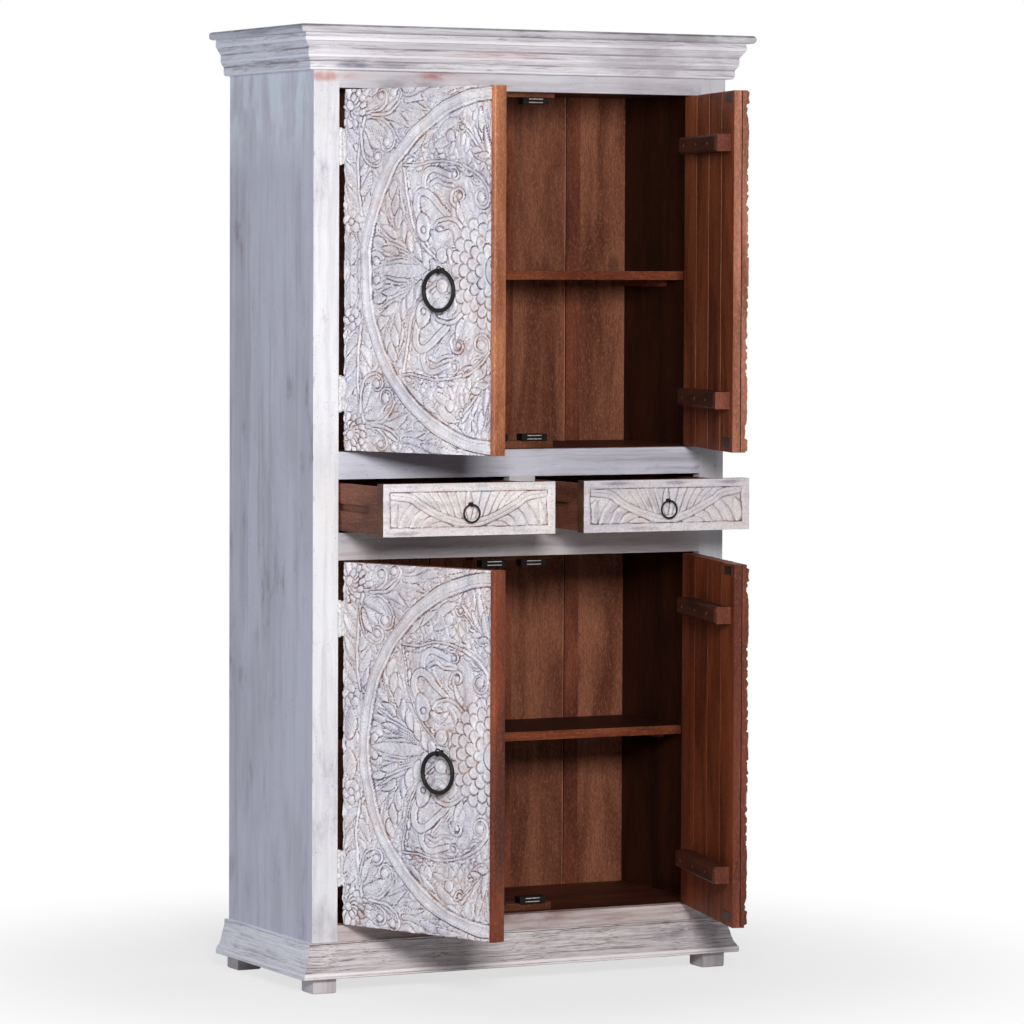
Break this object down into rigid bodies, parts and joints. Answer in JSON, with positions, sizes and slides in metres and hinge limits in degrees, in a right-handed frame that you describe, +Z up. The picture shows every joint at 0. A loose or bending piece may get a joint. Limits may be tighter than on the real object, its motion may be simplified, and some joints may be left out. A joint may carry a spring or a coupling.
{
  "type": "cabinet",
  "caption": "Tall carved and whitewashed wooden cabinet: paired hinged doors above and below drawers, shelves inside, ring pulls, moulded cornice and plinth.",
  "frame": {"origin": "on the floor, under the middle of the case's footprint", "axes": "+X to the right seen from the front, the front faces -Y, +Z up"},
  "size_m": [0.96, 0.7582, 1.802],
  "materials": {
    "whitewashed_wood": "worn whitewash over brown wood, matt",
    "whitewashed_carving": "worn whitewash on carved relief, brown in the grooves",
    "brown_wood": "reddish brown stain, satin",
    "waxed_edge_wood": "orange brown stain, waxed",
    "black_iron": "black, slightly worn",
    "catch_plastic": "black, matt",
    "painted_hinges": "white paint over steel"
  },
  "bodies": {
    "carcass": {"back_boards": "brown_wood", "back_muntins": "brown_wood", "base_front": "whitewashed_wood", "base_sides": "whitewashed_wood", "bottom_board": "brown_wood", "catch_blocks": "brown_wood", "ceiling_board": "brown_wood", "cornice_cap": "whitewashed_wood", "cornice_front": "whitewashed_wood", "cornice_sides": "whitewashed_wood", "drawer_deck_board": "brown_wood", "drawer_divider": "whitewashed_wood", "drawer_guides": "brown_wood", "feet": "whitewashed_wood", "hinge_pins": "painted_hinges", "magnet_catches": "catch_plastic", "rail_above_drawers": "whitewashed_wood", "rail_below_drawers": "whitewashed_wood", "rail_bottom": "whitewashed_wood", "rail_top": "whitewashed_wood", "shelf_cleats": "brown_wood", "shelf_lower": "brown_wood", "shelf_upper": "brown_wood", "side_left": "whitewashed_wood", "side_right": "whitewashed_wood", "stile_hinge_leaves": "painted_hinges", "stile_left": "whitewashed_wood", "stile_right": "whitewashed_wood", "upper_floor_board": "brown_wood"},
    "door_upper_left": {"door_upper_left_battens": "brown_wood", "door_upper_left_carved_panel": "whitewashed_carving", "door_upper_left_iron_fittings": "black_iron", "door_upper_left_meeting_bead": "waxed_edge_wood", "door_upper_left_planks": "brown_wood"},
    "ring_upper_left": {"door_upper_left_ring": "black_iron"},
    "door_upper_right": {"door_upper_right_battens": "brown_wood", "door_upper_right_carved_panel": "whitewashed_carving", "door_upper_right_iron_fittings": "black_iron", "door_upper_right_planks": "brown_wood"},
    "ring_upper_right": {"door_upper_right_ring": "black_iron"},
    "door_lower_left": {"door_lower_left_battens": "brown_wood", "door_lower_left_carved_panel": "whitewashed_carving", "door_lower_left_iron_fittings": "black_iron", "door_lower_left_meeting_bead": "waxed_edge_wood", "door_lower_left_planks": "brown_wood"},
    "ring_lower_left": {"door_lower_left_ring": "black_iron"},
    "door_lower_right": {"door_lower_right_battens": "brown_wood", "door_lower_right_carved_panel": "whitewashed_carving", "door_lower_right_iron_fittings": "black_iron", "door_lower_right_planks": "brown_wood"},
    "ring_lower_right": {"door_lower_right_ring": "black_iron"},
    "drawer_left": {"drawer_left_box": "brown_wood", "drawer_left_front": "whitewashed_carving", "drawer_left_ring_eye": "black_iron"},
    "ring_drawer_left": {"drawer_left_ring": "black_iron"},
    "drawer_right": {"drawer_right_box": "brown_wood", "drawer_right_front": "whitewashed_carving", "drawer_right_ring_eye": "black_iron"},
    "ring_drawer_right": {"drawer_right_ring": "black_iron"}
  },
  "joints": [
    {"name": "door_upper_left_hinge", "type": "hinge", "parent": "carcass", "child": "door_upper_left", "pos_m": [-0.3825, -0.1967, 1.349], "axis": [0, 0, -1], "range_deg": [-68.4, 96.6]},
    {"name": "door_upper_left_ring_swing", "type": "hinge", "parent": "door_upper_left", "child": "ring_upper_left", "pos_m": [-0.29671, -0.43592, 1.349], "axis": [-0.3681, 0.9298, 0], "range_deg": [-4, 100]},
    {"name": "door_upper_right_hinge", "type": "hinge", "parent": "carcass", "child": "door_upper_right", "pos_m": [0.3825, -0.1967, 1.349], "axis": [0, 0, 1], "range_deg": [-75, 90]},
    {"name": "door_upper_right_ring_swing", "type": "hinge", "parent": "door_upper_right", "child": "ring_upper_right", "pos_m": [0.32478, -0.44419, 1.349], "axis": [-0.2588, -0.9659, 0], "range_deg": [-4, 100]},
    {"name": "door_lower_left_hinge", "type": "hinge", "parent": "carcass", "child": "door_lower_left", "pos_m": [-0.3825, -0.1967, 0.467], "axis": [0, 0, -1], "range_deg": [-68, 97]},
    {"name": "door_lower_left_ring_swing", "type": "hinge", "parent": "door_lower_left", "child": "ring_lower_left", "pos_m": [-0.29505, -0.43531, 0.467], "axis": [-0.3746, 0.9272, 0], "range_deg": [-4, 100]},
    {"name": "door_lower_right_hinge", "type": "hinge", "parent": "carcass", "child": "door_lower_right", "pos_m": [0.3825, -0.1967, 0.467], "axis": [0, 0, 1], "range_deg": [-75.8, 89.2]},
    {"name": "door_lower_right_ring_swing", "type": "hinge", "parent": "door_lower_right", "child": "ring_lower_right", "pos_m": [0.32824, -0.44498, 0.467], "axis": [-0.2453, -0.9694, 0], "range_deg": [-4, 100]},
    {"name": "drawer_left_slide", "type": "slide", "parent": "carcass", "child": "drawer_left", "axis": [0, -1, 0], "range_m": [-0.192, 0.058]},
    {"name": "drawer_left_ring_swing", "type": "hinge", "parent": "drawer_left", "child": "ring_drawer_left", "pos_m": [-0.2055, -0.393, 0.91873], "axis": [-1, 0, 0], "range_deg": [-5, 90]},
    {"name": "drawer_right_slide", "type": "slide", "parent": "carcass", "child": "drawer_right", "axis": [0, -1, 0], "range_m": [-0.198, 0.052]},
    {"name": "drawer_right_ring_swing", "type": "hinge", "parent": "drawer_right", "child": "ring_drawer_right", "pos_m": [0.2055, -0.399, 0.91873], "axis": [-1, 0, 0], "range_deg": [-5, 90]}
  ]
}
